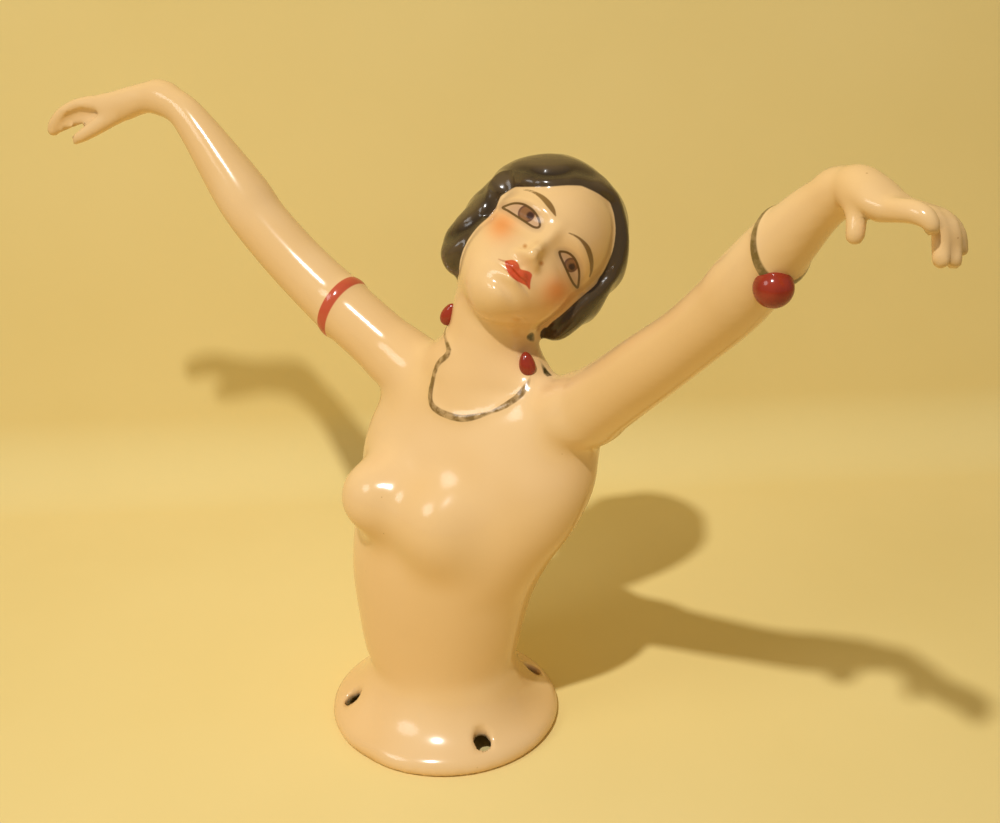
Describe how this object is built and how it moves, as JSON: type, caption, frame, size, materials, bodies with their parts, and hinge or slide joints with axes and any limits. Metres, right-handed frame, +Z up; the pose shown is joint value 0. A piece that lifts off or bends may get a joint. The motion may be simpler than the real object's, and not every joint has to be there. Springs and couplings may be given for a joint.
{
  "type": "half doll",
  "caption": "Glazed porcelain half doll with both arms raised, a waved bob, painted jewellery and a round foot flange pierced for sewing on.",
  "frame": {"origin": "on the plane that the foot stands on, under the middle of the doll's outer box", "axes": "+Z up through the torso, -Y the way the doll faces, +X to the doll's own left hand"},
  "size_m": [0.1644, 0.0598, 0.112],
  "materials": {
    "glazed_porcelain": "glossy cream glaze over slip-cast porcelain, with dark brown glazed hair, red and gold-brown painted jewellery and a painted face"
  },
  "bodies": {
    "root": {"half_doll": "glazed_porcelain"}
  },
  "joints": []
}
